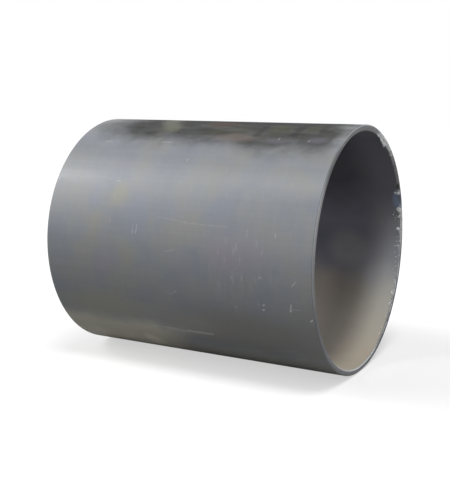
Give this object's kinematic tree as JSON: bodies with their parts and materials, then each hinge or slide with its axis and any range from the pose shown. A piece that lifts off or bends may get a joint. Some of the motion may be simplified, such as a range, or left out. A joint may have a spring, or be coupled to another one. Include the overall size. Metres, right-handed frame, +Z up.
{
  "type": "pvc drain pipe",
  "caption": "Short length of large plain-ended plastic drain pipe with a thin wall, sawn square and deburred, lying on its side.",
  "frame": {"origin": "centre of the bounding box's base, on the line where the pipe lies on the floor", "axes": "+X along the pipe towards the end with the chipped rim, +Z up"},
  "size_m": [0.378, 0.315, 0.315],
  "materials": {
    "grey_pvc": "satin, scuffed"
  },
  "bodies": {
    "root": {"pipe": "grey_pvc"}
  },
  "joints": []
}
